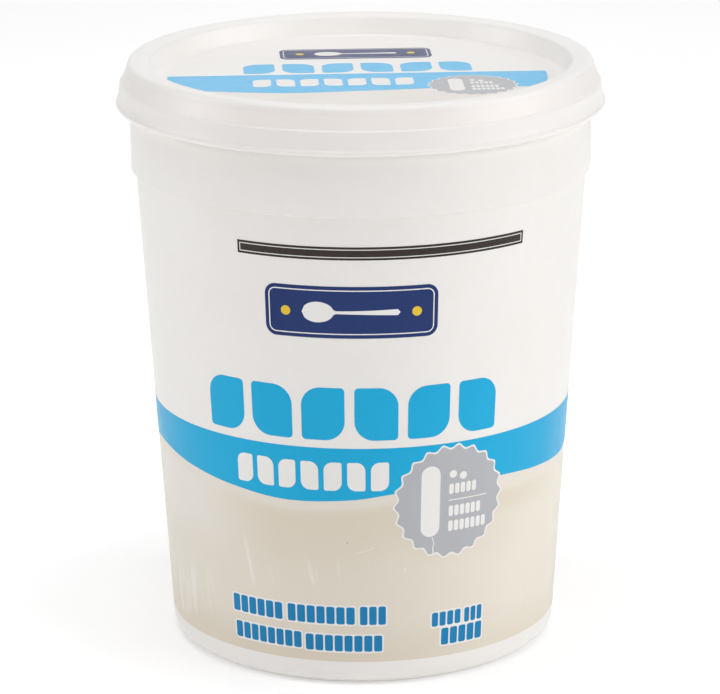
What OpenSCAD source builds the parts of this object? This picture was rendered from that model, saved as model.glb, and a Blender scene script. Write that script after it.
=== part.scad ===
// Family-size yogurt pot: a tapered plastic tub with a press-on lid.
// +Z is up and the origin is at the middle of the foot, on the table.
// Both pieces are turned shapes, so every outline below is a list of
// [radius, height, corner rounding] worked out from the named sizes.

/* [Tub] */
// Height from the table to the top of the lid's raised ring
pot_h = 143.0; // [110:0.1:180]
// Diameter that the side wall would have at table level
base_d = 93.7; // [86:0.1:100]
// Diameter of the side wall just under the collar
mouth_d = 108.5; // [104:0.1:110]
// Rounding between the side wall and the foot
base_round = 4.6; // [2:0.1:6]
// Width of the flat ring that the tub stands on
foot_w = 3.6; // [2:0.1:6]
// Depth of the hollow inside the foot ring
base_hollow = 1.6; // [0.6:0.1:3]
// Diameter of the moulding gate mark in the middle of the base
gate_d = 7; // [4:0.5:12]

/* [Collar] */
// Diameter of the straight collar under the lid
collar_d = 110.8; // [110.4:0.1:112]
// Height of the collar below the lid's lip
collar_h = 14.9; // [8:0.1:25]
// Height of the sloped step between the side wall and the collar
step_h = 0.4; // [0.2:0.1:3]

/* [Lid] */
// Diameter of the lid over its lip, its widest line
lid_d = 117.4; // [116:0.1:120]
// Height of the lid from the lip to the top of the raised ring
lid_h = 11.0; // [10:0.1:14]
// Thickness of the lid's plastic
lid_t = 0.9; // [0.6:0.05:1.1]
// Height of the lip's widest line above the lid's bottom edge
lip_h = 1.1; // [0.9:0.1:2]
// How far the lip stands out from the skirt
lip_out = 0.75; // [0.3:0.05:0.9]
// Height of the skirt between the lip's widest line and the ledge
skirt_h = 4.5; // [3:0.1:5.5]
// Height of the small ledge at the top of the skirt
ledge_h = 0.4; // [0.3:0.1:1]
// Width of the ledge, measured across
ledge_w = 0.4; // [0.1:0.05:0.5]

/* [Lid top] */
// Outside diameter of the raised ring
ring_d = 111.2; // [110:0.1:112]
// Width of the raised ring on top
ring_w = 5.0; // [4:0.1:6]
// Height of the steep rounded edge at the top of the ring
ring_wall = 2.0; // [1:0.1:2.6]
// Fall of the ring's top from its outer to its inner edge
ring_fall = 0.4; // [0:0.1:1]
// Depth of the sunk panel below the top of the ring
panel_depth = 4.9; // [4:0.1:5.6]
// Slope of the wall round the panel, measured across
panel_draft = 1.4; // [0.5:0.1:3]

/* [Hidden] */
$fn = 180;

// Heights of the lid's lines above the table
z_top = pot_h;
z_lip = pot_h - lid_h;
z_skirt = z_lip + lip_h;
z_ledge = z_skirt + skirt_h;
z_shoulder = z_ledge + ledge_h;
z_ring = z_top - ring_wall;
z_panel = z_top - panel_depth;

// Heights of the tub's lines
z_collar = z_lip - collar_h;
z_step = z_collar - step_h;
z_rim = z_lip + 2.6;

// Radii
r_lip = lid_d / 2;
r_skirt = r_lip - lip_out;
r_ring = ring_d / 2;
r_ring_in = r_ring - ring_w;
r_panel = r_ring_in - panel_draft;
r_collar = collar_d / 2;
r_foot_in = base_d / 2 - base_round - foot_w;
r_rim = r_skirt - lid_t;

// Points of the arc that rounds corner b of the path a, b, c
function corner(a, b, c, r, n = 6) =
    let (
        u = (a - b) / norm(a - b),
        v = (c - b) / norm(c - b),
        half = acos(max(-1, min(1, u * v))) / 2,
        t = min(r / tan(half), 0.49 * norm(a - b), 0.49 * norm(c - b)),
        rr = t * tan(half),
        m = (u + v) / norm(u + v),
        o = b + m * rr / sin(half),
        p = b + u * t - o,
        q = b + v * t - o,
        sweep = atan2(p[0] * q[1] - p[1] * q[0], p * q)
    )
    [for (i = [0:n]) let (w = sweep * i / n)
        o + [p[0] * cos(w) - p[1] * sin(w), p[0] * sin(w) + p[1] * cos(w)]];

// A path of [radius, height, rounding] with every rounding drawn in
function rounded(path, n = 6) = [
    for (i = [0:len(path) - 1])
        let (k = path[i], b = [k[0], k[1]])
        if (i == 0 || i == len(path) - 1 || k[2] == 0) b
        else each corner([path[i - 1][0], path[i - 1][1]], b,
                         [path[i + 1][0], path[i + 1][1]], k[2], n)
];

function reversed(list) = [for (i = [len(list) - 1:-1:0]) list[i]];

// Outside of the lid, from the middle of the panel out and down to the lip
lid_outside = rounded([
    [0, z_panel, 0],
    [r_panel, z_panel, 0.5],
    [r_ring_in, z_top - ring_fall, 0.9],
    [r_ring - 2, z_top, 1.2],
    [r_ring, z_top, 1.3],
    [r_ring + 0.5, z_ring, 1.0],
    [r_skirt - 0.2 - ledge_w, z_shoulder, 0.3],
    [r_skirt - 0.2, z_ledge, 0.2],
    [r_skirt, z_skirt + 2.4, 1.0],
    [r_skirt + 0.15, z_skirt + 1.4, 0.6],
    [r_skirt + 0.4, z_skirt + 0.4, 0.2],
    [r_lip, z_skirt, 0.15],
    [r_lip, z_lip + 0.65, 0.4],
    [r_lip - 0.6, z_lip, 0.3],
    [r_rim + 0.5, z_lip, 0]
]);

// Underside of the lid, which is also the outline of what it closes on
lid_inside = [
    [0, z_panel - lid_t],
    [r_panel + 0.5 * lid_t, z_panel - lid_t],
    [r_ring_in + 0.7 * lid_t, z_top - ring_fall - lid_t],
    [r_ring - 1.1 * lid_t, z_top - lid_t],
    [r_ring + 0.5 - 1.05 * lid_t, z_ring],
    [r_rim - 0.2, z_shoulder - 0.5],
    [r_rim, z_rim]
];

// Outside of the tub, from the middle of the base out and up to the rim
tub_outside = rounded([
    [0, base_hollow + 0.4, 0],
    [gate_d / 2, base_hollow + 0.4, 0],
    [gate_d / 2 + 0.5, base_hollow, 0],
    [r_foot_in - base_hollow, base_hollow, 1.0],
    [r_foot_in, 0, 0.8],
    [base_d / 2, 0, base_round],
    [mouth_d / 2, z_step, 0.2],
    [r_collar, z_collar, 0.4],
    [r_collar, z_rim, 0.3],
    [r_rim, z_rim, 0]
], 10);

// The tub with what fills it, closed up to the underside of the lid
module tub() {
    color("whitesmoke")
        rotate_extrude()
            polygon(concat(tub_outside, reversed(lid_inside)));
}

// The press-on lid
module lid() {
    color("white")
        rotate_extrude()
            polygon(concat(lid_outside, [[r_rim + 0.3, z_lip]],
                           reversed(lid_inside)));
}

tub();
lid();
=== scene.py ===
"""Looks of the yogurt pot: moulded tub, press-on lid, and the print on both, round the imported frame."""
import bpy
import math
from mathutils import Matrix, Vector, geometry


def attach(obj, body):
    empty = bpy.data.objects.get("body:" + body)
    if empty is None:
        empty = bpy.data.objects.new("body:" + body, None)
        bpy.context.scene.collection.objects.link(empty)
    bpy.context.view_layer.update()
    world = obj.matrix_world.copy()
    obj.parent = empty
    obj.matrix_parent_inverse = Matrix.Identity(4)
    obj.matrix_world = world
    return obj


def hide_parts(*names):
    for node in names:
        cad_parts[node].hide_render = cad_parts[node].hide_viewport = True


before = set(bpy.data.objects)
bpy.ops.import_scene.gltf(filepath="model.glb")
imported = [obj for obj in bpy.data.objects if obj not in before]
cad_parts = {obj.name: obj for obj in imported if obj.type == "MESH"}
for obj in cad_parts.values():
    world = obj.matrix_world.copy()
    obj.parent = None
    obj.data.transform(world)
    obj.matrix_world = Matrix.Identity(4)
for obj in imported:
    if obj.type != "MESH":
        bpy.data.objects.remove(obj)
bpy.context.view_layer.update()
MM = 0.001
SEGS = 384          # columns round the pot

# ---------------------------------------------------------------- sizes, as in part.scad (mm)
pot_h, base_d, mouth_d, base_round, foot_w = 143.0, 93.7, 108.5, 4.6, 3.6
base_hollow, gate_d = 1.6, 7.0
collar_d, collar_h, step_h = 110.8, 14.9, 0.4
lid_d, lid_h, lid_t, lip_h, lip_out = 117.4, 11.0, 0.9, 1.1, 0.75
skirt_h, ledge_h, ledge_w = 4.5, 0.4, 0.4
ring_d, ring_w, ring_wall, ring_fall = 111.2, 5.0, 2.0, 0.4
panel_depth, panel_draft = 4.9, 1.4

z_top = pot_h
z_lip = pot_h - lid_h
z_skirt = z_lip + lip_h
z_ledge = z_skirt + skirt_h
z_shoulder = z_ledge + ledge_h
z_ring = z_top - ring_wall
z_panel = z_top - panel_depth
z_collar = z_lip - collar_h
z_step = z_collar - step_h
z_rim = z_lip + 2.6
r_lip = lid_d / 2
r_skirt = r_lip - lip_out
r_ring = ring_d / 2
r_ring_in = r_ring - ring_w
r_panel = r_ring_in - panel_draft
r_collar = collar_d / 2
r_foot_in = base_d / 2 - base_round - foot_w
r_rim = r_skirt - lid_t


# ---------------------------------------------------------------- outlines
def corner(a, b, c, r, n):
    a, b, c = Vector(a), Vector(b), Vector(c)
    u, v = (a - b).normalized(), (c - b).normalized()
    half = math.acos(max(-1.0, min(1.0, u.dot(v)))) / 2
    t = min(r / math.tan(half), 0.49 * (a - b).length, 0.49 * (c - b).length)
    rr = t * math.tan(half)
    m = (u + v).normalized()
    o = b + m * (rr / math.sin(half))
    p, q = b + u * t - o, b + v * t - o
    sweep = math.atan2(p.x * q.y - p.y * q.x, p.dot(q))
    out = []
    for i in range(n + 1):
        w = sweep * i / n
        out.append((o.x + p.x * math.cos(w) - p.y * math.sin(w),
                    o.y + p.x * math.sin(w) + p.y * math.cos(w)))
    return out


def rounded(path, n=8):
    out = []
    for i, k in enumerate(path):
        if i in (0, len(path) - 1) or k[2] == 0:
            out.append((k[0], k[1]))
        else:
            out += corner(path[i - 1][:2], k[:2], path[i + 1][:2], k[2], n)
    return out


def supported(path, near=0.12, longest=3.0):
    """Adds a point close to both ends of every straight stretch, so that smooth shading stays true, and splits long ones."""
    out = [path[0]]
    for a, b in zip(path, path[1:]):
        d = math.hypot(b[0] - a[0], b[1] - a[1])
        stops = []
        if d > 5 * near:
            n = max(1, math.ceil((d - 2 * near) / longest))
            stops = [near / d + (1 - 2 * near / d) * i / n for i in range(n + 1)]
        for s in stops:
            out.append((a[0] + (b[0] - a[0]) * s, a[1] + (b[1] - a[1]) * s))
        out.append(b)
    return out


lid_outside = rounded([
    (0, z_panel, 0),
    (r_panel, z_panel, 0.5),
    (r_ring_in, z_top - ring_fall, 0.9),
    (r_ring - 2, z_top, 1.2),
    (r_ring, z_top, 1.3),
    (r_ring + 0.5, z_ring, 1.0),
    (r_skirt - 0.2 - ledge_w, z_shoulder, 0.3),
    (r_skirt - 0.2, z_ledge, 0.2),
    (r_skirt, z_skirt + 2.4, 1.0),
    (r_skirt + 0.15, z_skirt + 1.4, 0.6),
    (r_skirt + 0.4, z_skirt + 0.4, 0.2),
    (r_lip, z_skirt, 0.15),
    (r_lip, z_lip + 0.65, 0.4),
    (r_lip - 0.6, z_lip, 0.3),
    (r_rim + 0.5, z_lip, 0)])
lid_inside = [
    (0, z_panel - lid_t),
    (r_panel + 0.5 * lid_t, z_panel - lid_t),
    (r_ring_in + 0.7 * lid_t, z_top - ring_fall - lid_t),
    (r_ring - 1.1 * lid_t, z_top - lid_t),
    (r_ring + 0.5 - 1.05 * lid_t, z_ring),
    (r_rim - 0.2, z_shoulder - 0.5),
    (r_rim, z_rim)]
tub_outside = rounded([
    (0, base_hollow + 0.4, 0),
    (gate_d / 2, base_hollow + 0.4, 0),
    (gate_d / 2 + 0.5, base_hollow, 0),
    (r_foot_in - base_hollow, base_hollow, 1.0),
    (r_foot_in, 0, 0.8),
    (base_d / 2, 0, base_round),
    (mouth_d / 2, z_step, 0.2),
    (r_collar, z_collar, 0.4),
    (r_collar, z_rim, 0.3),
    (r_rim, z_rim, 0)], 12)


def wall_r(z):
    """Radius of the straight side wall at height z."""
    return base_d / 2 + (mouth_d - base_d) / 2 * z / z_step


def ripple(az, z):
    """The slight unevenness of a thin moulded wall, in mm: none near the foot, the collar and the lid."""
    w = max(0.0, min(1.0, (z - 9) / 18)) * max(0.0, min(1.0, (z_step - 4 - z) / 18))
    w = w * w * (3 - 2 * w)
    a = math.radians(az)
    return w * (0.045 * math.sin(2 * a + 0.7) * math.sin(z / 26 + 0.4)
                + 0.03 * math.sin(3 * a - z / 31 + 2.1)
                + 0.018 * math.sin(5 * a + z / 17)
                - 0.03)


def wall_point(az, z, h=0.0):
    a = math.radians(az)
    r = wall_r(z) + ripple(az, z) + h
    return Vector((r * math.sin(a), -r * math.cos(a), z)) * MM


# ---------------------------------------------------------------- materials
class Nodes:
    def __init__(self, name):
        self.mat = bpy.data.materials.new(name)
        self.mat.use_nodes = True
        self.t = self.mat.node_tree
        self.t.nodes.clear()
        self.out = self.t.nodes.new("ShaderNodeOutputMaterial")
        self.bsdf = self.t.nodes.new("ShaderNodeBsdfPrincipled")
        self.t.links.new(self.bsdf.outputs[0], self.out.inputs[0])
        self.coord = self.t.nodes.new("ShaderNodeTexCoord")

    def link(self, src, dst):
        self.t.links.new(src, dst)

    def set(self, **kw):
        for k, v in kw.items():
            self.bsdf.inputs[k.replace("_", " ")].default_value = v

    def put(self, sock, v):
        if isinstance(v, bpy.types.NodeSocket):
            self.link(v, sock)
        else:
            sock.default_value = v

    def math(self, op, a, b=0.0, c=0.0, clamp=False):
        n = self.t.nodes.new("ShaderNodeMath")
        n.operation = op
        n.use_clamp = clamp
        for s, v in zip(n.inputs, (a, b, c)):
            self.put(s, v)
        return n.outputs[0]

    def ramp(self, v, lo, hi, a=0.0, b=1.0, smooth=True):
        n = self.t.nodes.new("ShaderNodeMapRange")
        n.interpolation_type = "SMOOTHSTEP" if smooth else "LINEAR"
        for s, x in zip(n.inputs, (v, lo, hi, a, b)):
            self.put(s, x)
        return n.outputs[0]

    def noise(self, scale, detail=3.0, rough=0.5, vec=None, stretch=None, distortion=0.0):
        n = self.t.nodes.new("ShaderNodeTexNoise")
        n.inputs["Scale"].default_value = scale
        n.inputs["Detail"].default_value = detail
        n.inputs["Roughness"].default_value = rough
        n.inputs["Distortion"].default_value = distortion
        vec = vec or self.coord.outputs["Object"]
        if stretch:
            m = self.t.nodes.new("ShaderNodeMapping")
            m.inputs["Scale"].default_value = stretch
            self.link(vec, m.inputs["Vector"])
            vec = m.outputs[0]
        self.link(vec, n.inputs["Vector"])
        return n.outputs["Fac"]

    def mix(self, fac, a, b, blend="MIX"):
        n = self.t.nodes.new("ShaderNodeMix")
        n.data_type = "RGBA"
        n.blend_type = blend
        self.put(n.inputs["Factor"], fac)
        self.put(n.inputs[6], a if isinstance(a, bpy.types.NodeSocket) else (*a, 1.0))
        self.put(n.inputs[7], b if isinstance(b, bpy.types.NodeSocket) else (*b, 1.0))
        return n.outputs[2]

    def bump(self, height, distance, strength=1.0, normal=None):
        n = self.t.nodes.new("ShaderNodeBump")
        n.inputs["Distance"].default_value = distance
        n.inputs["Strength"].default_value = strength
        self.link(height, n.inputs["Height"])
        if normal is not None:
            self.link(normal, n.inputs["Normal"])
        return n.outputs[0]


def plastic(name, light, dark, rough=(0.30, 0.40), shine=0.5, painted_shading_zones=(), painted_under_lip_light=None):
    """White moulded plastic: faint mottling, satin skin with an orange-peel grain."""
    m = Nodes(name)
    broad = m.noise(34, 3, 0.55)
    fine = m.noise(420, 2, 0.5)
    mott = m.math("ADD", m.math("MULTIPLY", broad, 0.7), m.math("MULTIPLY", fine, 0.3))
    col = m.mix(m.ramp(mott, 0.38, 0.62), dark, light)
    if painted_shading_zones:
        # painted light and shade by radius: a lighter ring on the recess wall, a darker, slightly warm band on the
        # shoulder and a darker lower skirt: (inner radius, outer radius, blend in mm, tint)
        sep = m.t.nodes.new("ShaderNodeSeparateXYZ")
        m.link(m.coord.outputs["Object"], sep.inputs[0])
        x, y = sep.outputs[0], sep.outputs[1]
        r = m.math("MULTIPLY", m.math("SQRT", m.math("ADD", m.math("MULTIPLY", x, x), m.math("MULTIPLY", y, y))), 1000.0)
        for r0, r1, soft, tint in painted_shading_zones:
            f = m.math("MULTIPLY", m.ramp(r, r0 - soft, r0), m.ramp(r, r1, r1 + soft, 1.0, 0.0))
            # the painted shade on the shoulder and the skirt is weaker towards both sides
            if r0 > 52:     # weaker towards both sides
                f = m.math("MULTIPLY", f, m.ramp(m.math("ABSOLUTE", x), 0.038, 0.056, 1.0, 0.35))
            col = m.mix(f, col, m.mix(1.0, col, tint, "MULTIPLY"))
    if painted_under_lip_light:
        # painted light: the collar just under the lid's lip is lightened over the shade the lid casts there: (lower
        # height, upper height, tint)
        sep = m.t.nodes.new("ShaderNodeSeparateXYZ")
        m.link(m.coord.outputs["Object"], sep.inputs[0])
        z = m.math("MULTIPLY", sep.outputs[2], 1000.0)
        col = m.mix(m.ramp(z, painted_under_lip_light[0], painted_under_lip_light[1]), col, m.mix(1.0, col, painted_under_lip_light[2], "MULTIPLY"))
    m.link(col, m.bsdf.inputs["Base Color"])
    m.link(m.ramp(m.noise(160, 3, 0.6), 0.3, 0.7, rough[0], rough[1]), m.bsdf.inputs["Roughness"])
    peel = m.noise(1300, 2, 0.5)
    flow = m.noise(120, 2, 0.5)
    n1 = m.bump(flow, 0.00006, 0.35)
    m.link(m.bump(peel, 0.000012, 0.5, n1), m.bsdf.inputs["Normal"])
    m.set(IOR=1.49, Specular_IOR_Level=shine)
    return m.mat


def ink(name, light, dark, rough=(0.30, 0.40), grain=0.5, shine=0.22):
    """Flat print under the label's smooth film, with the fine speckle of a printing screen."""
    m = Nodes(name)
    screen = m.noise(2600, 1, 0.5)
    broad = m.noise(45, 2, 0.5)
    f = m.math("ADD", m.math("MULTIPLY", screen, grain), m.math("MULTIPLY", broad, 1 - grain))
    m.link(m.mix(m.ramp(f, 0.35, 0.65), dark, light), m.bsdf.inputs["Base Color"])
    m.link(m.ramp(m.noise(200, 3, 0.6), 0.3, 0.7, rough[0], rough[1]), m.bsdf.inputs["Roughness"])
    n1 = m.bump(m.noise(120, 2, 0.5), 0.00006, 0.35)
    m.link(m.bump(m.noise(1300, 2, 0.5), 0.000010, 0.5, n1), m.bsdf.inputs["Normal"])
    m.set(IOR=1.49, Specular_IOR_Level=shine)
    return m.mat


def yogurt_print(name):
    """The label's picture of smooth yogurt: warm cream with soft folds under the blue band and a few pale smears.
    The piece's map gives, along u, the turn round the pot and, along v, the depth below the band's edge over 50 mm."""
    m = Nodes(name)
    uv = m.t.nodes.new("ShaderNodeUVMap")
    uv.uv_map = "label"
    sep = m.t.nodes.new("ShaderNodeSeparateXYZ")
    m.link(uv.outputs[0], sep.inputs[0])
    # the print is the same on the front and on the back, so the turn is folded to half a turn: -90 to 90
    az = m.math("MULTIPLY", m.math("SUBTRACT", m.math("FRACT", m.math("ADD", m.math("MULTIPLY", sep.outputs[0], 2.0), 0.5)), 0.5), 180.0)
    t = m.math("MULTIPLY", sep.outputs[1], 50.0)
    obj = m.t.nodes.new("ShaderNodeSeparateXYZ")
    m.link(m.coord.outputs["Object"], obj.inputs[0])
    z = m.math("MULTIPLY", obj.outputs[2], 1000.0)
    soft = m.noise(26, 3, 0.5, stretch=(1, 1, 1.6), distortion=0.4)
    wob = m.math("SUBTRACT", soft, 0.5)

    pale, cream, tan = (0.718, 0.672, 0.592), (0.720, 0.660, 0.568), (0.635, 0.548, 0.424)
    # paler to the left, and again to the far right, so that the two repeats meet
    left = m.ramp(m.math("ADD", az, m.math("MULTIPLY", wob, 40.0)), -62.0, -18.0, 1.0, 0.0)
    col = m.mix(left, cream, pale)
    right = m.ramp(m.math("ADD", az, m.math("MULTIPLY", wob, 20.0)), 18.0, 54.0)
    col = m.mix(m.math("MULTIPLY", right, m.ramp(az, 70.0, 88.0, 1.0, 0.0)), col, (0.765, 0.715, 0.625))
    col = m.mix(m.ramp(az, 70.0, 88.0), col, pale)
    # painted sheen: a whitish reflection high on the left, laid into the print's colour
    painted_sheen = m.math("MULTIPLY", left, m.math("MULTIPLY", m.ramp(z, 28.0, 40.0), m.ramp(az, -90.0, -76.0)))
    col = m.mix(m.math("MULTIPLY", painted_sheen, 0.7), col, (0.765, 0.728, 0.680))
    # the soft shadow that lies under the fold below the band, deepest in the middle
    tt = m.math("ADD", t, m.math("MULTIPLY", wob, 5.0))
    shade = m.math("MULTIPLY", m.ramp(tt, 1.6, 5.0), m.ramp(tt, 6.0, 24.0, 1.0, 0.0))
    mid = m.math("MULTIPLY", m.ramp(az, -50.0, -22.0), m.ramp(az, 14.0, 62.0, 1.0, 0.0))
    col = m.mix(m.math("MULTIPLY", m.math("MULTIPLY", shade, mid), 0.42), col, tan)
    # a second, broader fold to the right of the middle
    t2 = m.math("ADD", t, m.math("MULTIPLY", m.math("SUBTRACT", az, 45.0), 0.06))
    fold = m.math("MULTIPLY", m.math("MULTIPLY", m.ramp(t2, 2.5, 5.0), m.ramp(t2, 6.0, 11.0, 1.0, 0.0)),
                  m.math("MULTIPLY", m.ramp(az, 34.0, 42.0), m.ramp(az, 50.0, 74.0, 1.0, 0.0)))
    col = m.mix(m.math("MULTIPLY", fold, 0.35), col, tan)
    # the pale lip of the fold, straight under the band
    col = m.mix(m.ramp(t, 1.2, 3.2, 0.75, 0.0), col, (0.740, 0.700, 0.630))
    # the tan foot of the picture
    foot = m.ramp(m.math("ADD", z, m.math("MULTIPLY", wob, 8.0)), 7.0, 19.0, 1.0, 0.0)
    foot = m.math("MULTIPLY", foot, m.ramp(az, 10.0, 40.0, 0.52, 0.34))
    foot = m.math("MULTIPLY", foot, m.ramp(az, -90.0, -80.0, 0.654, 1.0))
    col = m.mix(foot, col, tan)
    # broad soft clouds
    cloud = m.noise(14, 2, 0.5, stretch=(1, 1, 0.8), distortion=0.6)
    col = m.mix(m.ramp(cloud, 0.50, 0.70, 0.0, 0.35), col, pale)
    # pale smears, thin and nearly upright
    def smear(a0, z0, z1, lean, width, power):
        zz = m.ramp(z, z0, z1, 0.0, 1.0, False)
        line = m.math("ADD", a0, m.math("MULTIPLY", m.math("SUBTRACT", zz, 0.5), lean))
        line = m.math("ADD", line, m.math("MULTIPLY", wob, 1.6))
        d = m.math("ABSOLUTE", m.math("SUBTRACT", az, line))
        side = m.ramp(d, 0.0, width, 1.0, 0.0)
        ends = m.math("MULTIPLY", m.ramp(z, z0, z0 + 3.0), m.ramp(z, z1 - 7.0, z1, 1.0, 0.0))
        return m.math("MULTIPLY", m.math("MULTIPLY", side, ends), power)
    smears = None
    for s in ((-33.9, 22.5, 38.5, -3.6, 1.1, 0.75), (-26.6, 24.0, 31.0, -1.5, 0.8, 0.35), (-24.6, 24.5, 30.5, -1.8, 0.7, 0.3),
              (-14.7, 24.5, 34.0, -2.6, 1.0, 0.6), (-13.0, 25.5, 33.0, -1.0, 0.6, 0.35), (-6.8, 27.0, 34.5, -1.0, 0.7, 0.4),
              (1.5, 29.0, 34.0, -1.0, 0.9, 0.25), (33.0, 12.0, 24.0, -1.0, 0.9, 0.2), (52.0, 14.0, 27.0, -1.5, 1.2, 0.2)):
        v = smear(*s)
        smears = v if smears is None else m.math("MAXIMUM", smears, v)
    # a brushed patch low on the left
    brush = m.noise(30, 4, 0.65, stretch=(24, 24, 1.3))
    zz = m.math("SUBTRACT", z, m.math("MULTIPLY", m.math("ADD", az, 70.0), 0.27))
    patch = m.math("MULTIPLY", m.math("MULTIPLY", m.ramp(az, -80.0, -73.0), m.ramp(az, -58.0, -42.0, 1.0, 0.0)),
                   m.math("MULTIPLY", m.ramp(zz, 6.5, 9.0), m.ramp(zz, 17.0, 26.0, 1.0, 0.0)))
    brushed = m.math("MULTIPLY", m.ramp(brush, 0.44, 0.64, 0.0, 0.6), patch)
    smears = m.math("MAXIMUM", smears, brushed)
    col = m.mix(smears, col, (0.80, 0.775, 0.72))
    # a fine pale scratch and two specks
    su = m.math("SUBTRACT", z, m.math("ADD", 34.6, m.math("MULTIPLY", az, 0.27)))
    scratch = m.math("MULTIPLY", m.ramp(m.math("ABSOLUTE", su), 0.05, 0.28, 1.0, 0.0),
                     m.math("MULTIPLY", m.ramp(az, -2.4, -1.4), m.ramp(az, 2.4, 3.6, 1.0, 0.0)))
    col = m.mix(m.math("MULTIPLY", scratch, 0.5), col, (0.82, 0.80, 0.75))
    for a0, z0, size, tone, power in ((-4.2, 36.8, 0.34, (0.30, 0.24, 0.17), 0.55), (11.6, 29.6, 0.55, (0.82, 0.79, 0.73), 0.6)):
        da = m.math("MULTIPLY", m.math("SUBTRACT", az, a0), 0.86)
        dz = m.math("SUBTRACT", z, z0)
        d = m.math("SQRT", m.math("ADD", m.math("MULTIPLY", da, da), m.math("MULTIPLY", dz, dz)))
        col = m.mix(m.math("MULTIPLY", m.ramp(d, 0.3 * size, size, 1.0, 0.0), power), col, tone)
    grain = m.noise(2600, 1, 0.5)
    col = m.mix(m.ramp(grain, 0.3, 0.7, 0.0, 0.05), col, (0.45, 0.38, 0.28))
    m.link(col, m.bsdf.inputs["Base Color"])
    m.link(m.ramp(m.noise(200, 3, 0.6), 0.3, 0.7, 0.30, 0.40), m.bsdf.inputs["Roughness"])
    n1 = m.bump(m.noise(120, 2, 0.5), 0.00006, 0.35)
    m.link(m.bump(m.noise(1300, 2, 0.5), 0.000010, 0.5, n1), m.bsdf.inputs["Normal"])
    m.set(IOR=1.49, Specular_IOR_Level=0.22)
    return m.mat


# painted light on the tub: a lighter band on the collar right under the lid's lip, over the lid's shade
M_TUB = plastic("tub_plastic", (0.815, 0.792, 0.766), (0.800, 0.775, 0.748), shine=0.25,
                painted_under_lip_light=(128.6, 131.2, (1.10, 1.10, 1.09)))
# painted light and shade on the lid: a lighter recess wall, and a darker shoulder and lower skirt
M_LID = plastic("lid_plastic", (0.828, 0.806, 0.786), (0.813, 0.791, 0.771), rough=(0.31, 0.41),
                painted_shading_zones=((49.5, 50.3, 0.4, (1.075, 1.075, 1.070)), (56.1, 57.3, 0.5, (0.985, 0.958, 0.947)), (57.75, 60.0, 0.1, (0.985, 0.975, 0.970))))
M_BLUE = ink("ink_blue", (0.0065, 0.385, 0.665), (0.0045, 0.365, 0.645))
M_DEEP = ink("ink_deep_blue", (0.0050, 0.205, 0.440), (0.0035, 0.185, 0.415))
M_NAVY = ink("ink_navy", (0.012, 0.034, 0.145), (0.009, 0.027, 0.128))
M_GREY = ink("ink_grey", (0.435, 0.440, 0.462), (0.420, 0.425, 0.447))
M_WHITE = ink("ink_white", (0.800, 0.785, 0.765), (0.780, 0.765, 0.745), grain=0.3)
M_BLACK = ink("ink_dark", (0.040, 0.030, 0.027), (0.030, 0.022, 0.020))
M_YELLOW = ink("ink_yellow", (0.760, 0.540, 0.045), (0.730, 0.510, 0.038))
M_CREAM = yogurt_print("ink_cream")
# the lid's print lies under a glossier skin
# painted reflection: the lid's blue is a lighter copy of the tub's blue, for the bright surroundings mirrored at a
# grazing angle
L_BLUE_PAINTED_SHEEN = ink("lid_ink_blue_painted_sheen", (0.108, 0.492, 0.800), (0.100, 0.474, 0.785), shine=0.5)
L_NAVY = ink("lid_ink_navy", (0.020, 0.040, 0.150), (0.015, 0.033, 0.135), shine=0.5)
L_GREY = ink("lid_ink_grey", (0.435, 0.440, 0.462), (0.420, 0.425, 0.447), shine=0.5)
L_WHITE = ink("lid_ink_white", (0.800, 0.785, 0.765), (0.780, 0.765, 0.745), grain=0.3, shine=0.5)
L_YELLOW = ink("lid_ink_yellow", (0.760, 0.540, 0.045), (0.730, 0.510, 0.038), shine=0.5)
L_CREAM = ink("lid_ink_cream", (0.775, 0.735, 0.700), (0.735, 0.690, 0.645), grain=0.15, shine=0.5)

# ---------------------------------------------------------------- mesh helpers
def add(name, verts, faces, mat, smooth=True, sharp_deg=38.0):
    me = bpy.data.meshes.new(name)
    me.from_pydata([tuple(v) for v in verts], [], faces)
    me.validate()
    me.update()
    if smooth:
        me.polygons.foreach_set("use_smooth", [True] * len(me.polygons))
        me.set_sharp_from_angle(angle=math.radians(sharp_deg))
    ob = bpy.data.objects.new(name, me)
    bpy.context.scene.collection.objects.link(ob)
    me.materials.append(mat)
    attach(ob, "root")
    return ob


def revolve(name, path, mat, uneven=False):
    """Turns a closed outline that starts and ends on the axis, or a closed loop off it, into a mesh."""
    verts, rows = [], []
    for r, z in path:
        if r < 1e-6:
            rows.append([len(verts)])
            verts.append(Vector((0, 0, z)) * MM)
            continue
        row = []
        for i in range(SEGS):
            az = 360.0 * i / SEGS - 180.0
            a = math.radians(az)
            rr = r + (ripple(az, z) if uneven and abs(r - wall_r(z)) < 0.05 else 0.0)
            row.append(len(verts))
            verts.append(Vector((rr * math.sin(a), -rr * math.cos(a), z)) * MM)
        rows.append(row)
    faces = []
    for a, b in zip(rows, rows[1:]):
        for i in range(SEGS):
            j = (i + 1) % SEGS
            if len(a) == 1:
                faces.append((a[0], b[j], b[i]))
            elif len(b) == 1:
                faces.append((a[i], a[j], b[0]))
            else:
                faces.append((a[i], a[j], b[j], b[i]))
    return add(name, verts, faces, mat)


def densify(loop, step):
    out = []
    for i, a in enumerate(loop):
        b = loop[(i + 1) % len(loop)]
        n = max(1, math.ceil(math.hypot(b[0] - a[0], b[1] - a[1]) / step))
        out += [(a[0] + (b[0] - a[0]) * k / n, a[1] + (b[1] - a[1]) * k / n) for k in range(n)]
    return out


def inside(p, loop):
    x, y = p
    hit = False
    j = len(loop) - 1
    for i in range(len(loop)):
        xi, yi = loop[i]
        xj, yj = loop[j]
        if (yi > y) != (yj > y) and x < (xj - xi) * (y - yi) / (yj - yi) + xi:
            hit = not hit
        j = i
    return hit


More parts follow.
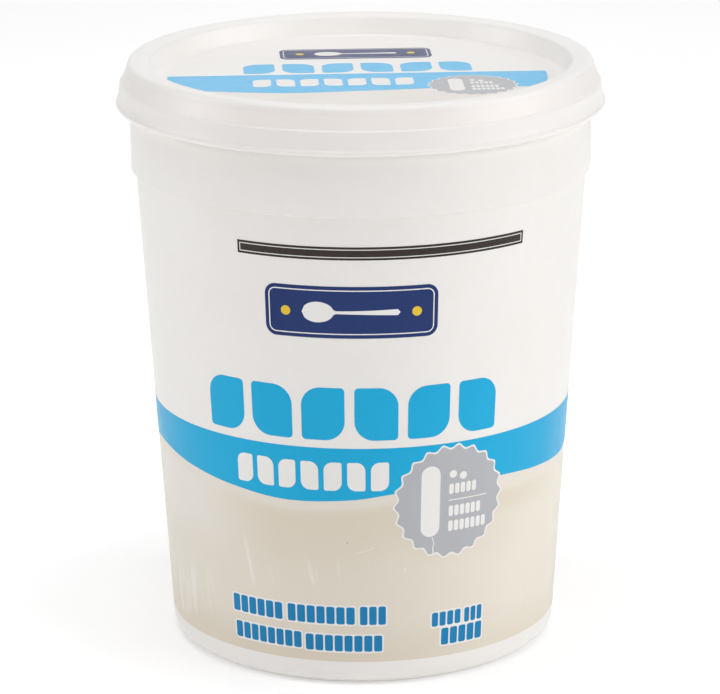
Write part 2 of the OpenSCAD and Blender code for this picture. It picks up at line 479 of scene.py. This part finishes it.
def clearance(p, loop):
    best = 1e9
    for i, a in enumerate(loop):
        b = loop[(i + 1) % len(loop)]
        dx, dy = b[0] - a[0], b[1] - a[1]
        ll = dx * dx + dy * dy
        s = 0 if ll == 0 else max(0, min(1, ((p[0] - a[0]) * dx + (p[1] - a[1]) * dy) / ll))
        best = min(best, math.hypot(a[0] + dx * s - p[0], a[1] + dy * s - p[1]))
    return best


def patch(loop, step=1.6):
    """Triangles that fill a closed outline in the plane, with points inside so that it bends well."""
    loop = densify(loop, step)
    n = len(loop)
    xs, ys = [p[0] for p in loop], [p[1] for p in loop]
    pts = [Vector(p) for p in loop]
    nx, ny = int((max(xs) - min(xs)) / step), int((max(ys) - min(ys)) / step)
    for i in range(1, nx + 1):
        for j in range(1, ny + 1):
            p = (min(xs) + (max(xs) - min(xs)) * i / (nx + 1), min(ys) + (max(ys) - min(ys)) * j / (ny + 1))
            if inside(p, loop) and clearance(p, loop) > 0.35 * step:
                pts.append(Vector(p))
    edges = [(i, (i + 1) % n) for i in range(n)]
    vs, _, fs, _, _, _ = geometry.delaunay_2d_cdt(pts, edges, [], 1, 1e-7)
    return [tuple(v) for v in vs], [tuple(f) for f in fs]


def slab(parts, mat, name):
    """One piece of printed film: closed thin slabs. parts is a list of (loop, place, h): place(u, v, h) gives the point."""
    verts, faces = [], []
    for loop, place, h in parts:
        area = sum(a[0] * b[1] - b[0] * a[1] for a, b in zip(loop, loop[1:] + loop[:1]))
        if area < 0:
            loop = loop[::-1]
        vs, fs = patch(loop)
        # triangles all the same way round, seen from outside
        good = []
        for f in fs:
            a, b, c = (vs[i] for i in f)
            s = (b[0] - a[0]) * (c[1] - a[1]) - (c[0] - a[0]) * (b[1] - a[1])
            if abs(s) > 1e-9:
                good.append(f if s > 0 else f[::-1])
        base = len(verts)
        n = len(vs)
        verts += [place(u, v, h) for u, v in vs]
        verts += [place(u, v, -0.12) for u, v in vs]
        count = {}
        for f in good:
            for e in ((f[0], f[1]), (f[1], f[2]), (f[2], f[0])):
                count[e] = count.get(e, 0) + 1
        for f in good:
            faces.append(tuple(base + i for i in f))
            faces.append(tuple(base + n + i for i in f[::-1]))
        for a, b in count:
            if (b, a) not in count:
                faces.append((base + b, base + a, base + n + a, base + n + b))
    return add(name, verts, faces, mat)


def strip(loops, mat, name, place, h):
    """A closed thin line between an outer and an inner outline that have the same number of points."""
    verts, faces = [], []
    for outer, inner in loops:
        n = len(outer)
        base = len(verts)
        for loop, hh in ((outer, h), (inner, h), (inner, -0.12), (outer, -0.12)):
            verts += [place(u, v, hh) for u, v in loop]
        for i in range(n):
            j = (i + 1) % n
            for k in range(4):
                a, b = base + k * n, base + ((k + 1) % 4) * n
                faces.append((a + i, a + j, b + j, b + i))
    return add(name, verts, faces, mat)


def tile(u0, u1, v0, v1, r, n=6):
    """A rectangle with rounded corners, anticlockwise."""
    r = min(r, (u1 - u0) / 2 - 1e-4, (v1 - v0) / 2 - 1e-4)
    out = []
    for cx, cy, a0 in ((u1 - r, v0 + r, -90), (u1 - r, v1 - r, 0), (u0 + r, v1 - r, 90), (u0 + r, v0 + r, 180)):
        for i in range(n + 1):
            a = math.radians(a0 + 90 * i / n)
            out.append((cx + r * math.cos(a), cy + r * math.sin(a)))
    return out


def tiles(u0, u1, v0, v1, count, gap, r):
    """A row of equal rounded tiles."""
    w = (u1 - u0 - gap * (count - 1)) / count
    return [tile(u0 + i * (w + gap), u0 + i * (w + gap) + w, v0, v1, r) for i in range(count)]


def leaf(u0, u1, v0, v1, big, small, lean, n=9):
    """A rectangle with two opposite corners turned to wide curves; lean 1 puts those at the upper left and lower right."""
    rs = (big, small, big, small) if lean > 0 else (small, big, small, big)
    out = []
    for r, cx, cy, a0 in zip(rs, (u1, u1, u0, u0), (v0, v1, v1, v0), (-90, 0, 90, 180)):
        cx += -r if cx == u1 else r
        cy += r if cy == v0 else -r
        for i in range(n + 1):
            a = math.radians(a0 + 90 * i / n)
            out.append((cx + r * math.cos(a), cy + r * math.sin(a)))
    return out


def leaves(u0, u1, v0, v1, count, gap, big, small):
    """A row of leaves that lean by turns to one side and the other."""
    w = (u1 - u0 - gap * (count - 1)) / count
    return [leaf(u0 + i * (w + gap), u0 + i * (w + gap) + w, v0, v1, big, small, 1 if i % 2 == 0 else -1) for i in range(count)]


def edge_line(u0, u1, v0, v1, r, inset, width, step=1.5):
    """The outer and the inner outline of a line that runs inside a rounded rectangle, with as many points each."""
    loops = []
    nu, nv = math.ceil((u1 - u0) / step), max(1, math.ceil((v1 - v0) / step))
    for d in (inset, inset + width):
        a0, a1, b0, b1, rr = u0 + d, u1 - d, v0 + d, v1 - d, max(r - d, 0.05)
        sharp = tile(a0, a1, b0, b1, rr)
        out = []
        k = len(sharp) // 4
        for q in range(4):
            arc = sharp[q * k:(q + 1) * k]
            out += arc
            p, nxt = arc[-1], sharp[((q + 1) % 4) * k]
            m = nv if q in (0, 2) else nu
            out += [(p[0] + (nxt[0] - p[0]) * i / m, p[1] + (nxt[1] - p[1]) * i / m) for i in range(1, m)]
        loops.append(out)
    return loops[0], loops[1]


def smooth_curve(knots, x, period=None):
    """A smooth curve through a few (x, y) knots (monotone cubic), repeating with the period."""
    xs, ys = [k[0] for k in knots], [k[1] for k in knots]
    if period:
        x = xs[0] + (x - xs[0]) % period
        xs = [xs[-2] - period, *xs, xs[1] + period]
        ys = [ys[-2], *ys, ys[1]]
    n = len(xs)
    d = [(ys[i + 1] - ys[i]) / (xs[i + 1] - xs[i]) for i in range(n - 1)]
    m = [d[0]] + [0 if d[i - 1] * d[i] <= 0 else 2 * d[i - 1] * d[i] / (d[i - 1] + d[i]) for i in range(1, n - 1)] + [d[-1]]
    i = max(0, min(n - 2, next((k for k in range(n - 1) if x < xs[k + 1]), n - 2)))
    h = xs[i + 1] - xs[i]
    t = (x - xs[i]) / h
    return ((1 + 2 * t) * (1 - t) ** 2 * ys[i] + t * (1 - t) ** 2 * h * m[i]
            + t * t * (3 - 2 * t) * ys[i + 1] + t * t * (t - 1) * h * m[i + 1])


# ---------------------------------------------------------------- tub and lid
tub_path = supported(tub_outside) + supported(lid_inside[::-1], longest=9.0)[1:]
tub = revolve("tub_moulding", tub_path, M_TUB, uneven=True)
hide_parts("tub")

lid_path = (supported(lid_outside, longest=9.0) + supported([(r_rim + 0.3, z_lip)] + lid_inside[::-1], longest=9.0))
lid = revolve("lid_moulding", lid_path[::-1], M_LID)
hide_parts("lid")

# ---------------------------------------------------------------- print on the tub
BAND_TOP = 60.5
CREAM_LOW = 6.2
WAVE = [(-75, 51.6), (-54, 49.8), (-38, 48.2), (-20, 46.85), (-3, 47.6), (9, 49.0), (26, 50.1),
        (41, 49.7), (57, 48.6), (74, 47.8), (105, 51.6)]


def band_low(az):
    return smooth_curve(WAVE, az, 180.0)


def ring_piece(name, low, high, rows, h, mat):
    """A closed band of film right round the pot, between two edges given as functions of the turn."""
    verts, faces = [], []
    for hh in (h, -0.12):
        for k in range(rows + 1):
            for i in range(SEGS):
                az = 360.0 * i / SEGS - 180.0
                a, b = low(az), high(az)
                verts.append(wall_point(az, a + (b - a) * k / rows, hh))
    n, layer = SEGS, (rows + 1) * SEGS
    for i in range(n):
        j = (i + 1) % n
        for k in range(rows):
            a, b = k * n, (k + 1) * n
            faces.append((a + i, a + j, b + j, b + i))
            faces.append((layer + a + i, layer + b + i, layer + b + j, layer + a + j))
        faces.append((i, layer + i, layer + j, j))
        t = rows * n
        faces.append((t + i, t + j, layer + t + j, layer + t + i))
    ob = add(name, verts, faces, mat)
    uv = ob.data.uv_layers.new(name="label")
    for p in ob.data.polygons:
        cols = [ob.data.loops[l].vertex_index % n for l in p.loop_indices]
        wrap = max(cols) - min(cols) > n // 2
        for l, c in zip(p.loop_indices, cols):
            az = 360.0 * (c + (n if wrap and c < n // 2 else 0)) / n - 180.0
            zz = ob.data.vertices[ob.data.loops[l].vertex_index].co.z / MM
            uv.data[l].uv = (az / 360.0 + 1.0, (band_low(az) - zz) / 50.0)
    return ob


ring_piece("print_cream", lambda az: CREAM_LOW, lambda az: band_low(az) + 0.8, 26, 0.02, M_CREAM)
ring_piece("print_band", band_low, lambda az: BAND_TOP, 8, 0.05, M_BLUE)


def on_wall(centre):
    """Places (u mm along the wall, v mm up) round a middle line at that azimuth; u is true at the height of each point's row."""
    def place(u, v, h, ref=None):
        return wall_point(centre + math.degrees(u / wall_r(ref if ref is not None else v)), v, h)
    return place


def wall_at(centre, z_ref):
    """As on_wall, with the sides of every shape running straight up the wall's slope."""
    def place(u, v, h):
        return wall_point(centre + math.degrees(u / wall_r(z_ref)), v, h)
    return place


def arc_mm(az, z):
    return math.radians(az) * wall_r(z)


def scallop(cx, cy, r, depth, count, turn, n=12):
    """A disc with a rim of small rounded points."""
    out = []
    for i in range(count * n):
        a = 2 * math.pi * i / (count * n)
        w = abs(math.sin(count * (a - math.radians(turn)) / 2))      # 0 at a point, 1 in a valley
        s = w ** 1.6
        rr = r - depth * s
        out.append((cx + rr * math.sin(a), cy + rr * math.cos(a)))
    return out


def spoon(cx, cy, length, bowl, reach, n=40):
    """A plain spoon lying along u, bowl to the left."""
    x0 = cx - length / 2
    top, low = [], []
    for i in range(n + 1):
        s = i / n
        x = x0 + length * s
        d = x - x0
        if d <= reach:
            w = bowl / 2 * math.sqrt(max(0.0, 1 - ((d - reach * 0.47) / (reach * 0.53)) ** 2)) if d > reach * 0.47 \
                else bowl / 2 * math.sqrt(max(0.0, 1 - ((reach * 0.47 - d) / (reach * 0.47)) ** 2))
        else:
            w = 0.0
        stem = 0.34 + 0.42 * max(0.0, (d - reach) / (length - reach)) ** 1.5
        end = math.sqrt(max(0.0, 1 - max(0.0, (s - 0.965) / 0.035) ** 2))
        w = max(w, stem * end if d > reach * 0.6 else 0.0)
        top.append((x, cy + w))
        low.append((x, cy - w))
    loop = low + top[::-1]
    out = []
    for p in loop:
        if not out or math.hypot(p[0] - out[-1][0], p[1] - out[-1][1]) > 1e-4:
            out.append(p)
    if math.hypot(out[0][0] - out[-1][0], out[0][1] - out[-1][1]) < 1e-4:
        out.pop()
    return out


def disc(cx, cy, r, n=28):
    return [(cx + r * math.cos(2 * math.pi * i / n), cy + r * math.sin(2 * math.pi * i / n)) for i in range(n)]


def front(tag, turn, full):
    """One printed face of the label; the same layout is on the front and on the back."""
    # title: a row of bold tiles
    z0, z1 = 62.5, 75.5
    zr = (z0 + z1) / 2
    p = wall_at(turn - 3.3, zr)
    half = arc_mm(40.9, zr)
    slab([(t, p, 0.05) for t in leaves(-half, half, z0, z1, 6, 2.3, 4.7, 1.0)], M_BLUE, f"print_title_{tag}")
    # second row, white on the band
    z0, z1 = 49.9, 57.0
    p = wall_at(turn - 14.3, 53.4)
    half = arc_mm(21.4, 53.4)
    slab([(t, p, 0.08) for t in leaves(-half, half, z0, z1, 7, 1.3, 2.1, 0.5)], M_WHITE, f"print_row_{tag}")
    # plaque: navy tablet with a plain spoon
    zr = 94.0
    p = wall_at(turn - 2.7, zr)
    half = arc_mm(22.2, zr)
    slab([(tile(-half, half, 87.7, 100.3, 2.6), p, 0.05)], M_NAVY, f"print_plaque_{tag}")
    strip([edge_line(-half, half, 87.7, 100.3, 2.6, 0.9, 0.26)],
          M_WHITE, f"print_plaque_line_{tag}", p, 0.07)
    slab([(spoon(0.0, 94.0, 23.0, 5.0, 7.6), p, 0.08)], M_WHITE, f"print_spoon_{tag}")
    slab([(disc(s * 15.4, 94.0, 1.15), p, 0.08) for s in (-1, 1)], M_YELLOW, f"print_dots_{tag}")
    # seal
    cz = 45.83
    p = wall_at(turn + 24.7, cz)
    slab([(scallop(0, cz, 14.46, 1.02, 22, -9.8), p, 0.08)], M_WHITE, f"print_seal_edge_{tag}")
    slab([(scallop(0, cz, 13.96, 1.00, 22, -9.8), p, 0.11)], M_GREY, f"print_seal_{tag}")
    marks = [tile(-7.6, -2.9, 37.4, 55.2, 2.35)]
    marks += [disc(0.35, 52.6, 0.95), disc(3.0, 51.9, 0.95)]
    marks += tiles(-0.6, 6.6, 47.6, 50.2, 5, 0.35, 0.5)
    marks += tiles(-0.6, 8.0, 42.0, 44.7, 6, 0.35, 0.5)
    marks += tiles(-0.6, 9.6, 38.2, 40.9, 7, 0.35, 0.5)
    marks += [tile(-0.7, 9.8, 45.95, 46.2, 0.1)]
    if full:        # a fine crack in the ink below the bar
        marks.append([(-4.75, 37.2), (-4.52, 37.2), (-4.05, 35.6), (-4.32, 34.6), (-4.12, 32.6), (-4.42, 32.6), (-4.58, 34.6), (-4.28, 35.6)])
    slab([(t, p, 0.13) for t in marks], M_WHITE, f"print_seal_marks_{tag}")
    if not full:
        return
    # dark stripe with a pale line inside its edge
    zr = 108.25
    p = wall_at(turn + 6.1, zr)
    half = arc_mm(38.2, zr)
    slab([(tile(-half, half, 106.7, 109.85, 0.05), p, 0.05)], M_BLACK, f"print_stripe_{tag}")
    strip([edge_line(-half, half, 106.7, 109.85, 0.1, 0.55, 0.2)],
          M_WHITE, f"print_stripe_line_{tag}", p, 0.07)
    # small rows near the foot
    p = wall_at(turn, 14.5)
    words = [(-40.1, -23.6, 15.9, 20.2, 6), (-21.9, -2.4, 15.9, 20.3, 7), (-0.9, 6.4, 15.8, 20.5, 3),
             (-39.5, -18.0, 9.2, 13.3, 8), (-16.7, 5.4, 8.9, 13.0, 8),
             (19.9, 28.9, 14.1, 17.7, 4), (30.2, 36.1, 14.0, 17.7, 3), (22.9, 36.3, 9.1, 13.4, 5)]
    back, fore = [], []
    for a0, a1, v0, v1, n in words:
        u0, u1 = arc_mm(a0, 14.5), arc_mm(a1, 14.5)
        fore += tiles(u0, u1, v0, v1, n, 0.42, 0.45)
        back.append(tile(u0 - 0.42, u1 + 0.42, v0 - 0.42, v1 + 0.42, 0.8))
    slab([(t, p, 0.05) for t in back], M_WHITE, f"print_small_edge_{tag}")
    slab([(t, p, 0.08) for t in fore], M_DEEP, f"print_small_{tag}")


front("front", 0.0, True)
front("back", 180.0, False)

# ---------------------------------------------------------------- print on the lid
LID_TURN = math.radians(3.0)
LABEL_R, LABEL_X = 45.6, -0.7


def on_lid(u, v, h):
    c, s = math.cos(LID_TURN), math.sin(LID_TURN)
    return Vector((u * c - v * s, u * s + v * c, z_panel + h)) * MM


LID_WAVE = [(-50, -12.2), (-39, -13.6), (-28, -16.0), (-17, -17.4), (-3, -16.4), (10, -15.2), (26, -13.6), (38, -14.2), (50, -16.0)]


def cut_by_disc(upper, lower, r, n=90):
    """The part of a disc between two curves v(u), as one outline."""
    us = [LABEL_X - r * math.cos(math.pi * i / (2 * n)) for i in range(2 * n + 1)]
    top, low = [], []
    for u in us:
        e = math.sqrt(max(0.0, r * r - (u - LABEL_X) ** 2))
        a, b = min(upper(u), e), max(lower(u), -e)
        if a - b > 1e-3:
            top.append((u, a))
            low.append((u, b))
    return low + top[::-1]


slab([(cut_by_disc(lambda u: 2.95, lambda u: smooth_curve(LID_WAVE, u), LABEL_R), on_lid, 0.05)], L_BLUE_PAINTED_SHEEN, "print_lid_band")
slab([(cut_by_disc(lambda u: smooth_curve(LID_WAVE, u) + 0.4, lambda u: -99.0, LABEL_R), on_lid, 0.02)], L_CREAM, "print_lid_cream")
slab([(t, on_lid, 0.05) for t in leaves(-27.9, 27.4, 4.8, 15.1, 6, 1.9, 3.9, 0.8)], L_BLUE_PAINTED_SHEEN, "print_lid_title")
slab([(t, on_lid, 0.08) for t in leaves(-26.0, 12.4, -10.3, -2.5, 7, 1.3, 2.0, 0.5)], L_WHITE, "print_lid_row")
slab([(tile(-18.5, 18.8, 20.6, 32.0, 2.3), on_lid, 0.05)], L_NAVY, "print_lid_plaque")
strip([edge_line(-18.5, 18.8, 20.6, 32.0, 2.3, 0.8, 0.24)], L_WHITE, "print_lid_plaque_line", on_lid, 0.07)
slab([(spoon(0.15, 26.3, 20.5, 4.5, 6.8), on_lid, 0.08)], L_WHITE, "print_lid_spoon")
slab([(disc(0.15 + s * 13.7, 26.3, 1.05), on_lid, 0.08) for s in (-1, 1)], L_YELLOW, "print_lid_dots")
slab([(scallop(26.1, -11.7, 11.0, 0.76, 22, -9.8), on_lid, 0.08)], L_WHITE, "print_lid_seal_edge")
slab([(scallop(26.1, -11.7, 10.62, 0.75, 22, -9.8), on_lid, 0.11)], L_GREY, "print_lid_seal")
k = 10.72 / 14.38
lid_marks = [tile(-7.6, -2.9, -8.6, 9.2, 2.35), disc(0.35, 6.6, 0.95), disc(3.0, 5.9, 0.95)]
lid_marks += tiles(-0.6, 6.6, 1.6, 4.2, 5, 0.35, 0.5) + tiles(-0.6, 8.0, -4.0, -1.3, 6, 0.35, 0.5)
lid_marks += tiles(-0.6, 9.6, -7.8, -5.1, 7, 0.35, 0.5) + [tile(-0.7, 9.8, -0.05, 0.2, 0.1)]
slab([([(26.1 + k * x, -11.7 + k * y) for x, y in t], on_lid, 0.13) for t in lid_marks], L_WHITE, "print_lid_seal_marks")

# ---------------------------------------------------------------- floor, light and camera
scene = bpy.context.scene
scene.view_settings.view_transform = "Standard"
scene.view_settings.look = "None"

me = bpy.data.meshes.new("floor")
me.from_pydata([(-8, -8, 0), (8, -8, 0), (8, 8, 0), (-8, 8, 0)], [], [(0, 1, 2, 3)])
floor = bpy.data.objects.new("floor", me)
scene.collection.objects.link(floor)
fm = Nodes("floor_paper")
fm.link(fm.mix(fm.ramp(fm.noise(3.0, 2, 0.5), 0.3, 0.7), (0.88, 0.88, 0.88), (0.90, 0.90, 0.90)), fm.bsdf.inputs["Base Color"])
fm.set(Roughness=0.9)
fm.bsdf.inputs["Emission Color"].default_value = (1, 1, 1, 1)
fm.bsdf.inputs["Emission Strength"].default_value = 0.20
me.materials.append(fm.mat)

world = bpy.data.worlds.new("studio")
scene.world = world
world.use_nodes = True
world.node_tree.nodes["Background"].inputs[0].default_value = (1.0, 1.0, 1.0, 1)
world.node_tree.nodes["Background"].inputs[1].default_value = 0.15


def softbox(name, azimuth, elevation, distance, size, watts, colour=(1, 1, 1)):
    """A square soft light round the pot; azimuth 0 is in front, 90 to the right."""
    a, e = math.radians(azimuth), math.radians(elevation)
    target = Vector((0, 0, 0.07))
    at = target + distance * Vector((math.sin(a) * math.cos(e), -math.cos(a) * math.cos(e), math.sin(e)))
    light = bpy.data.lights.new(name, "AREA")
    light.shape = "RECTANGLE"
    light.size, light.size_y = size
    light.energy = watts
    light.color = colour
    ob = bpy.data.objects.new(name, light)
    ob.location = at
    ob.rotation_euler = (target - at).to_track_quat("-Z", "Y").to_euler()
    scene.collection.objects.link(ob)
    return ob


softbox("light_right", 85, 22, 1.25, (0.6, 0.8), 3.9)
softbox("light_front_right", 60, 22, 1.25, (0.6, 0.8), 3.0)
softbox("light_front", 12, 22, 1.25, (0.6, 0.8), 2.2)
softbox("light_front_left", -35, 22, 1.25, (0.6, 0.8), 0.75)
softbox("light_left", -85, 22, 1.25, (0.6, 0.8), 4.7)
softbox("light_top", 0, 88, 1.25, (1.2, 1.2), 10.1)
softbox("light_backdrop", 180, 15, 2.6, (3.2, 1.5), 9.6)
floor_light = softbox("light_floor", 180, 40, 1.3, (1.6, 0.9), 3.5)
floor_light.location = (0, 1.15, 0.9)
floor_light.rotation_euler = (0, 0, 0)

# The view: level with the pot's middle from 0.89 m in front, looking down at 16 degrees through a long lens
PITCH, ROLL, YAW = 0.2845, -0.00535, -0.0005
cam = bpy.data.cameras.new("camera")
cam.sensor_width = 36.0
cam.lens = 190.0
cam.clip_start, cam.clip_end = 0.05, 60.0
camera = bpy.data.objects.new("camera", cam)
scene.collection.objects.link(camera)
fwd0, right0, up0 = Vector((math.sin(YAW), math.cos(YAW), 0)), Vector((math.cos(YAW), -math.sin(YAW), 0)), Vector((0, 0, 1))
fwd = math.cos(PITCH) * fwd0 - math.sin(PITCH) * up0
up = math.sin(PITCH) * fwd0 + math.cos(PITCH) * up0
right = math.cos(ROLL) * right0 + math.sin(ROLL) * up
up = -math.sin(ROLL) * right0 + math.cos(ROLL) * up
rot = Matrix((right, up, -fwd)).transposed().to_4x4()
camera.matrix_world = Matrix.Translation(Vector((0, -0.89339, 0.33168))) @ rot
scene.camera = camera

bpy.context.view_layer.update()
